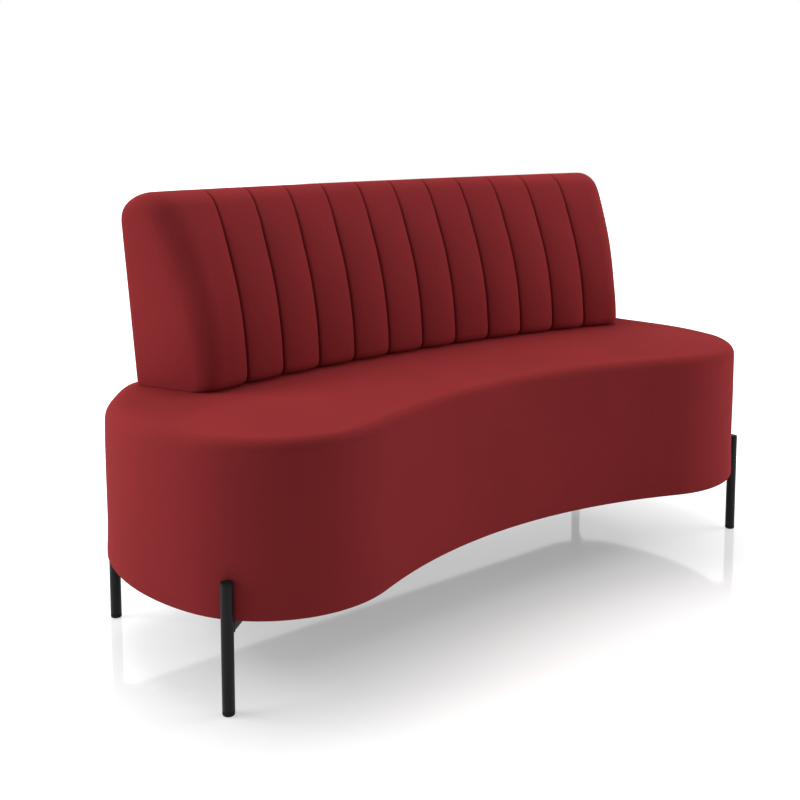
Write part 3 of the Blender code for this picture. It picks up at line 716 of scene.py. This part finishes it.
def make_rear_cloth(material):
    """Cloth drawn over the bent panel at the rear and tucked in along its edge."""
    def place(column, row):
        s = column * (1 - PANEL_MARGIN / REAR_HALF)
        side = (1 - abs(s)) * REAR_HALF - PANEL_MARGIN
        top = crest_foot(s) + PANEL_OVER - rounded_in(side, TOP_CORNER_RADIUS - PANEL_MARGIN)
        z = FOOT + (top - FOOT) * row
        edge = min(side, top - z, (z - FOOT) * 2)
        tuck = TUCK * (1 - ramp(edge / TUCK_RUN)) - FULLNESS * ramp(edge / FULLNESS_RUN)
        return flared(s, rear_y(s, z) - tuck, z)

    evenly = 2 - 2 * SIDE_CROWDING
    turns = between(-math.pi / 2, math.pi / 2, REAR_CLOTH_COLUMNS)
    columns = [math.sin(turn) * SIDE_CROWDING + turn / math.pi * evenly for turn in turns]
    rows = [(1 - math.cos(turn)) / 2 for turn in between(0, math.pi, REAR_CLOTH_ROWS)]
    bm = patch(columns, rows, place)
    area = sum(face.calc_area() for face in bm.faces)
    bmesh.ops.solidify(bm, geom=bm.faces[:], thickness=-REAR_CLOTH)
    piece = finished("rear_cloth", bm, material, "wine_cloth", ("back_rear_cloth",))


# Dust cloth and straps


def make_dust_cloth(material):
    """Thin black cloth tacked up under the floor, slightly slack in its middle."""
    outline = bean(*OUTLINE_STEPS)

    def place(column, row):
        p, out = column
        q = p - out * row
        return Vector((q.x, q.y, DUST_TOP))

    bm = patch(outline, DUST_ROWS, place)
    bean_fill(bm, outline, DUST_ROWS[-1])
    area = sum(face.calc_area() for face in bm.faces)
    bmesh.ops.recalc_face_normals(bm, faces=bm.faces)
    for vert in bm.verts:
        along = vert.co.x / DUST_SAG_LENGTH
        across = (vert.co.y - DUST_SAG_Y) / DUST_SAG_DEPTH
        vert.co.z -= DUST_SAG * math.exp(-(along ** 2) - across ** 2)
    up = sum(face.normal.z for face in bm.faces) > 0
    bmesh.ops.solidify(bm, geom=bm.faces[:], thickness=-DUST_CLOTH if up else DUST_CLOTH)
    piece = finished("underside_cloth", bm, material, "dust_cloth", ("dust_cloth",))


def make_strap(number, material):
    """Woven strap across the rim, sagging a little between its ends."""
    node = "seat_webbing_" + str(number)
    low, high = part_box(node)

    def place(column, row):
        x = low.x + (high.x - low.x) * column
        y = low.y + (high.y - low.y) * row
        sag = STRAP_SAG * (1 - (2 * row - 1) ** 2)
        edge = STRAP_EDGE * (1 - ramp(min(column, 1 - column) / STRAP_EDGE_SHARE))
        return Vector((x, y, high.z - sag - edge))

    bm = patch(between(0, 1, 24), between(0, 1, 40), place)
    bmesh.ops.recalc_face_normals(bm, faces=bm.faces)
    up = bm.faces[:][0].normal.z > 0
    bmesh.ops.solidify(bm, geom=bm.faces[:], thickness=STRAP_THICKNESS if up else -STRAP_THICKNESS)
    finished("strap_" + str(number), bm, material, "webbing", (node,))


# Legs


def lathe(profile, spot, sides):
    """Closed turned shape of (radius, height) points about an upright axis."""
    bm = bmesh.new()
    verts = [bm.verts.new((radius, 0, height)) for radius, height in profile]
    edges = [bm.edges.new(pair) for pair in zip(verts, verts[1:])]
    axis = {"cent": (0, 0, 0), "axis": (0, 0, 1), "angle": 2 * math.pi}
    bmesh.ops.spin(bm, geom=verts + edges, steps=sides, use_merge=True, **axis)
    bmesh.ops.translate(bm, verts=bm.verts, vec=(spot.x, spot.y, 0))
    return bm


def rounded_end(radius, height, rounding, steps, up):
    """Profile points of an end face and its rounded edge, from the axis outwards."""
    side = 1 if up else -1
    flat = radius - rounding
    points = [(0.0, height), (flat * 0.6, height)]
    for turn in between(0, math.pi / 2, steps):
        drop = rounding * (1 - math.cos(turn))
        points.append((flat + rounding * math.sin(turn), height - side * drop))
    return points


def make_leg(corner, spot, steel, plastic):
    """Tube of a leg with its cap and its glide."""
    low = GLIDE + GAP
    high = LEG_TOP - LEG_CAP - GAP
    tube = rounded_end(LEG_RADIUS, low, TUBE_ROUNDING, 2, False)
    tube += rounded_end(LEG_RADIUS, high, TUBE_ROUNDING, 2, True)[::-1]
    cap = rounded_end(LEG_RADIUS, LEG_TOP - LEG_CAP, JOINT_ROUNDING, 2, False)
    cap += rounded_end(LEG_RADIUS, LEG_TOP, CAP_ROUNDING, 5, True)[::-1]
    foot = rounded_end(LEG_RADIUS, 0.0, GLIDE_ROUNDING, 6, False)
    foot += rounded_end(LEG_RADIUS, GLIDE, JOINT_ROUNDING, 2, True)[::-1]
    for name, node, profile, material, slot in (
        ("leg_", "leg_tube_", tube, steel, "black_steel"),
        ("leg_top_", "leg_cap_", cap, plastic, "black_plastic"),
        ("leg_foot_", "leg_glide_", foot, plastic, "black_plastic"),
    ):
        bm = lathe(profile, spot, LEG_SIDES)
        finished(name + corner, bm, material, slot, (node + corner,))


def make_arm(corner, spot, inwards, steel):
    """Square tube with rounded corners from the leg in under the base, with its weld at the leg."""
    bm = bmesh.new()
    bmesh.ops.create_cube(bm, size=1)
    bmesh.ops.scale(bm, verts=bm.verts, vec=(ARM_LENGTH - ARM_START, ARM_SIZE, ARM_SIZE))
    bmesh.ops.translate(bm, verts=bm.verts, vec=((ARM_LENGTH + ARM_START) / 2, 0, 0))
    rounding = {"offset": ARM_ROUNDING, "segments": 4, "profile": 0.5}
    bmesh.ops.bevel(bm, geom=bm.edges[:], affect="EDGES", material=-1, **rounding)
    for number in range(1, WELD_CUTS + 1):
        cut = ARM_START + WELD_CUT_START + WELD_CUT_STEP * number
        geom = bm.verts[:] + bm.edges[:] + bm.faces[:]
        bmesh.ops.bisect_plane(bm, geom=geom, plane_co=(cut, 0, 0), plane_no=(1, 0, 0))
    for vert in bm.verts:
        round_joint = max(0, 1 - ((vert.co.x - WELD_PLACE) / WELD_HALF) ** 2)
        ripple = 0.8 + 0.2 * math.sin(math.atan2(vert.co.z, vert.co.y) * WELD_RIPPLES)
        grow = 1 + WELD_SWELL * round_joint * ripple
        vert.co.y *= grow
        vert.co.z *= grow
    turn = Matrix.Rotation(heading(inwards), 4, "Z")
    shift = Matrix.Translation((spot.x, spot.y, ARM_TOP - ARM_SIZE / 2))
    bmesh.ops.transform(bm, matrix=shift @ turn, verts=bm.verts)
    finished("arm_" + corner, bm, steel, "black_steel", ("leg_arm_" + corner,))


def make_screw(corner, number, zinc):
    """Pan-head screw with a round recess in its head."""
    node = "arm_screw_" + corner + "_" + str(number)
    low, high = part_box(node)
    spot = Vector(((low.x + high.x) / 2, (low.y + high.y) / 2))
    head = (high.x - low.x) / 2
    recess = low.z + SCREW_RECESS
    profile = [(0.0, recess), (0.0019, recess), (0.0021, low.z + 0.0002)]
    for share in between(0.4, 0.98, 6):
        dome = SCREW_HEAD * (1 - math.sqrt(1 - share ** 2)) * 0.7
        profile.append((head * share, low.z + dome))
    under = low.z + SCREW_HEAD
    profile += [(head, low.z + 0.0030), (head * 0.98, under), (SCREW_SHANK, under)]
    profile += [(SCREW_SHANK, high.z - SCREW_TIP), (0.0, high.z)]
    bm = lathe(profile, spot, SCREW_SIDES)
    finished("screw_" + corner + "_" + str(number), bm, zinc, "zinc_steel", (node,))


# Finishes


def add(tree, kind, settings=(), **inputs):
    """Shader node whose inputs, named with _ for a space, are values or other nodes' outputs."""
    node = tree.nodes.new("ShaderNode" + kind)
    for name, value in dict(settings).items():
        setattr(node, name, value)
    for name, value in inputs.items():
        socket = node.inputs[name.replace("_", " ")]
        if isinstance(value, bpy.types.NodeSocket):
            tree.links.new(value, socket)
        else:
            socket.default_value = value
    return node


def start_finish(name, roughness, metallic=0.0):
    """New material with its tree, shader and object coordinates."""
    material = bpy.data.materials.new(name)
    material.use_nodes = True
    tree = material.node_tree
    shader = tree.nodes["Principled BSDF"]
    shader.inputs["Roughness"].default_value = roughness
    shader.inputs["Metallic"].default_value = metallic
    place = add(tree, "TexCoord").outputs["Object"]
    return material, tree, shader, place


def noise_of(tree, place, scale, detail=3.0, stretch=None):
    """Factor of a noise texture, its pattern stretched along some axes."""
    if stretch:
        place = add(tree, "Mapping", Vector=place, Scale=stretch).outputs["Vector"]
    return add(tree, "TexNoise", Vector=place, Scale=scale, Detail=detail).outputs["Fac"]


def ramp_of(tree, factor, low, high, first=0.3, last=0.7):
    """Colour that goes from low to high over part of a factor."""
    ramp_node = add(tree, "ValToRGB", Fac=factor)
    ends = ramp_node.color_ramp.elements
    ends[0].position = first
    ends[1].position = last
    ends[0].color = (*low, 1)
    ends[1].color = (*high, 1)
    return ramp_node.outputs["Color"]


def grey(value):
    return (value, value, value)


def mixed(tree, factor, first, second, blend="MIX"):
    """Colour mixed of two by a factor."""
    mix = add(tree, "MixRGB", {"blend_type": blend}, Fac=factor, Color1=first, Color2=second)
    return mix.outputs["Color"]


def bumped(tree, shader, height, strength, distance):
    """Gives a shader the small relief of a height."""
    bump = add(tree, "Bump", Height=height, Strength=strength, Distance=distance)
    tree.links.new(bump.outputs["Normal"], shader.inputs["Normal"])


def wine_nap():
    """Short-napped wine-red cloth: fine pile, soft brush marks, and along the seams darker pile and
    thread together with painted shade of the grooves.
    """
    material, tree, shader, place = start_finish("wine_nap", 0.9)
    brushed = noise_of(tree, place, 7, 4, (1, 1, 0.6))
    tone = ramp_of(tree, brushed, (0.268, 0.0290, 0.0320), (0.300, 0.0325, 0.0358))
    pile = noise_of(tree, place, 620, 3)
    speck = ramp_of(tree, pile, grey(0.88), grey(1.1))
    colour = mixed(tree, 1.0, tone, speck, "MULTIPLY")
    # Along the seams the colour is darkened towards near-black: partly darker pile and thread,
    # partly painted shade where the seam grooves lie in shade.
    sewn = add(tree, "Attribute", {"attribute_name": "sewn"}).outputs["Fac"]
    dark = add(tree, "Math", {"operation": "MULTIPLY"})
    tree.links.new(sewn, dark.inputs[0])
    dark.inputs[1].default_value = 0.6
    colour = mixed(tree, dark.outputs["Value"], colour, (0.05, 0.006, 0.008, 1))
    tree.links.new(colour, shader.inputs["Base Color"])
    tree.links.new(ramp_of(tree, brushed, grey(0.82), grey(0.95)), shader.inputs["Roughness"])
    shader.inputs["Specular IOR Level"].default_value = 0.04
    shader.inputs["Sheen Weight"].default_value = 0.1
    shader.inputs["Sheen Roughness"].default_value = 0.5
    shader.inputs["Sheen Tint"].default_value = (0.9, 0.08, 0.08, 1)
    fibres = noise_of(tree, place, 1100, 2)
    bumped(tree, shader, mixed(tree, 0.5, pile, fibres), 0.22, 0.0005)
    return material


def powder_coat():
    """Matt black powder coat with its fine orange peel."""
    material, tree, shader, place = start_finish("powder_coat", 0.5)
    peel = noise_of(tree, place, 900, 2)
    cloud = noise_of(tree, place, 18, 3)
    tree.links.new(ramp_of(tree, cloud, grey(0.0065), grey(0.0095)), shader.inputs["Base Color"])
    tree.links.new(ramp_of(tree, cloud, grey(0.42), grey(0.54)), shader.inputs["Roughness"])
    shader.inputs["Specular IOR Level"].default_value = 0.15
    bumped(tree, shader, peel, 0.12, 0.0002)
    return material


def moulded_plastic():
    """Black moulded plastic with a faint spark-eroded texture."""
    material, tree, shader, place = start_finish("moulded_plastic", 0.55)
    grain = noise_of(tree, place, 1500, 2)
    tree.links.new(ramp_of(tree, grain, grey(0.007), grey(0.011)), shader.inputs["Base Color"])
    shader.inputs["Specular IOR Level"].default_value = 0.15
    bumped(tree, shader, grain, 0.1, 0.0002)
    return material


def zinc_plate():
    """Zinc-plated steel, slightly clouded."""
    material, tree, shader, place = start_finish("zinc_plate", 0.35, 1.0)
    cloud = noise_of(tree, place, 160, 4)
    tone = ramp_of(tree, cloud, (0.44, 0.45, 0.46), (0.62, 0.63, 0.65))
    tree.links.new(tone, shader.inputs["Base Color"])
    tree.links.new(ramp_of(tree, cloud, grey(0.28), grey(0.45)), shader.inputs["Roughness"])
    return material


def spun_cloth():
    """Black spun-bonded cloth with its rows of pressed dots."""
    material, tree, shader, place = start_finish("spun_cloth", 0.95)
    web = noise_of(tree, place, 260, 5)
    dots = add(tree, "TexVoronoi", Vector=place, Scale=420.0).outputs["Distance"]
    tree.links.new(ramp_of(tree, web, grey(0.014), grey(0.026)), shader.inputs["Base Color"])
    bumped(tree, shader, mixed(tree, 0.4, web, dots), 0.3, 0.0004)
    return material


def strap_weave():
    """Coarse dark webbing with cross ribs."""
    material, tree, shader, place = start_finish("strap_weave", 0.9)
    across = {"bands_direction": "Y"}
    ribs = add(tree, "TexWave", across, Vector=place, Scale=150.0, Distortion=0.6).outputs["Fac"]
    yarn = noise_of(tree, place, 500, 3, (1, 0.2, 1))
    tone = ramp_of(tree, yarn, (0.05, 0.044, 0.038), (0.1, 0.088, 0.075))
    tree.links.new(tone, shader.inputs["Base Color"])
    bumped(tree, shader, mixed(tree, 0.3, ribs, yarn), 0.4, 0.0006)
    return material


def sawn_wood(name, pale, deep, along):
    """Wood with its grain drawn out along one axis."""
    material, tree, shader, place = start_finish(name, 0.7)
    grain = noise_of(tree, place, 60, 6, along)
    pores = noise_of(tree, place, 420, 3, along)
    colour = mixed(tree, 0.35, ramp_of(tree, grain, deep, pale), ramp_of(tree, pores, deep, pale))
    tree.links.new(colour, shader.inputs["Base Color"])
    bumped(tree, shader, pores, 0.15, 0.0005)
    return material


def pressed_board():
    """Brown hardboard with its pressed fibres."""
    material, tree, shader, place = start_finish("pressed_board", 0.8)
    chips = noise_of(tree, place, 240, 6)
    tone = ramp_of(tree, chips, (0.17, 0.1, 0.055), (0.28, 0.175, 0.1))
    tree.links.new(tone, shader.inputs["Base Color"])
    bumped(tree, shader, chips, 0.15, 0.0004)
    return material


def finish_frame():
    """Finishes of the CAD nodes that stay as they are, inside the covers."""
    plywood = sawn_wood("birch_ply", (0.62, 0.45, 0.27), (0.46, 0.31, 0.17), (0.08, 1, 1))
    pine = sawn_wood("sawn_pine", (0.7, 0.5, 0.29), (0.52, 0.34, 0.17), (1, 1, 0.08))
    board = pressed_board()
    zinc = zinc_plate()
    finishes = {
        "floor_panel": plywood,
        "seat_rim": plywood,
        "back_panel": plywood,
        "stud": pine,
        "back_post": pine,
        "wall_board": board,
        "post_bracket": zinc,
    }
    for name, node in nodes.items():
        for start, material in finishes.items():
            if name.startswith(start):
                node.data.materials.clear()
                node.data.materials.append(material)
    return zinc


# Floor, light and camera


def soft_light(name, location, aim, width, height, power):
    """Softbox that lights the sofa and isn't seen itself."""
    lamp = bpy.data.lights.new(name, "AREA")
    lamp.shape = "RECTANGLE"
    lamp.size = width
    lamp.size_y = height
    lamp.energy = power
    light = bpy.data.objects.new(name, lamp)
    light.location = location
    light.rotation_euler = (Vector(aim) - Vector(location)).to_track_quat("-Z", "Y").to_euler()
    light.visible_camera = False
    light.visible_glossy = False
    bpy.context.scene.collection.objects.link(light)


def seen_share(tree):
    """1 for what the camera sees, straight, in a reflection or through glass."""
    path = add(tree, "LightPath")
    seen = path.outputs["Is Camera Ray"]
    for ray in ("Is Glossy Ray", "Is Transmission Ray"):
        either = add(tree, "Math", {"operation": "MAXIMUM"})
        tree.links.new(seen, either.inputs[0])
        tree.links.new(path.outputs[ray], either.inputs[1])
        seen = either.outputs["Value"]
    return seen


def make_floor():
    """Glossy white floor that keeps the shadow, with a painted glow that is weakest under the sofa
    and so deepens and shapes that shadow.
    """
    bm = bmesh.new()
    bmesh.ops.create_circle(bm, cap_ends=True, segments=64, radius=14)
    mesh = bpy.data.meshes.new("floor")
    bm.to_mesh(mesh)
    bm.free()
    floor = bpy.data.objects.new("floor", mesh)
    bpy.context.scene.collection.objects.link(floor)
    material, tree, shader, place = start_finish("floor_gloss_painted_glow", 0.075)
    shader.inputs["Base Color"].default_value = (0.8, 0.8, 0.8, 1)
    shader.inputs["Specular IOR Level"].default_value = 0.9
    shader.inputs["Emission Color"].default_value = (1, 1, 1, 1)
    far = place
    for operation, value in (
        ("ADD", SHADE_OFFSET),
        ("ABSOLUTE", None),
        ("SUBTRACT", SHADE_HALF),
        ("MAXIMUM", (0, 0, 0)),
        ("LENGTH", None),
    ):
        step = add(tree, "VectorMath", {"operation": operation})
        tree.links.new(far, step.inputs[0])
        if value:
            step.inputs[1].default_value = value
        far = step.outputs["Value" if operation == "LENGTH" else "Vector"]
    # Painted light: the glow grows with distance from the sofa, so the floor round it is painted
    # brighter and the shade under it is painted in.
    reach = {"From_Min": GLOW_START, "From_Max": GLOW_END}
    glow = add(tree, "MapRange", Value=far, To_Min=GLOW_LEAST, **reach)
    lift = add(tree, "Math", {"operation": "MULTIPLY"})
    tree.links.new(seen_share(tree), lift.inputs[0])
    tree.links.new(glow.outputs["Result"], lift.inputs[1])
    tree.links.new(lift.outputs["Value"], shader.inputs["Emission Strength"])
    mesh.materials.append(material)


def make_studio():
    """White surround and three softboxes."""
    world = bpy.data.worlds.new("studio")
    bpy.context.scene.world = world
    world.use_nodes = True
    tree = world.node_tree
    background = tree.nodes["Background"]
    background.inputs["Color"].default_value = (1, 1, 1, 1)
    strength = add(tree, "MapRange", Value=seen_share(tree), To_Min=0.3, To_Max=1.0)
    tree.links.new(strength.outputs["Result"], background.inputs["Strength"])
    wide = {"width": 2.6, "height": 1.6}
    small = {"width": 1.6, "height": 1.4}
    soft_light("top_softbox", (0.1, 0.8, 2.5), aim=(0, 0, 0.45), power=39, **wide)
    soft_light("left_softbox", (-2.4, 1.2, 1.2), aim=(0, 0, 0.4), power=34, **small)
    soft_light("right_softbox", (2.3, -1.3, 0.9), aim=(0, 0, 0.4), power=27, **small)


def make_camera():
    """Camera of the photograph, pitched down so that the other views stay in frame too."""
    camera = bpy.data.cameras.new("camera")
    camera.lens = 52.2476
    camera.sensor_width = 36
    camera.shift_y = -0.19
    eye = bpy.data.objects.new("camera", camera)
    eye.location = (-1.5488, -1.70503, 0.93655)
    pitch = math.radians(90 - 6.478)
    turn = math.radians(-39.2292)
    eye.rotation_euler = (pitch, 0, turn)
    bpy.context.scene.collection.objects.link(eye)
    bpy.context.scene.camera = eye


bpy.context.scene.view_settings.view_transform = "Standard"
nap = wine_nap()
steel = powder_coat()
plastic = moulded_plastic()
zinc = finish_frame()
make_base_cover(nap)
make_back_cover(nap)
make_rear_cloth(nap)
make_dust_cloth(spun_cloth())
weave = strap_weave()
for number in range(1, STRAPS + 1):
    make_strap(number, weave)
for corner, (spot, inwards) in leg_spots().items():
    make_leg(corner, spot, steel, plastic)
    make_arm(corner, spot, inwards, steel)
    for number in range(1, ARM_SCREWS + 1):
        make_screw(corner, number, zinc)
make_floor()
make_studio()
make_camera()
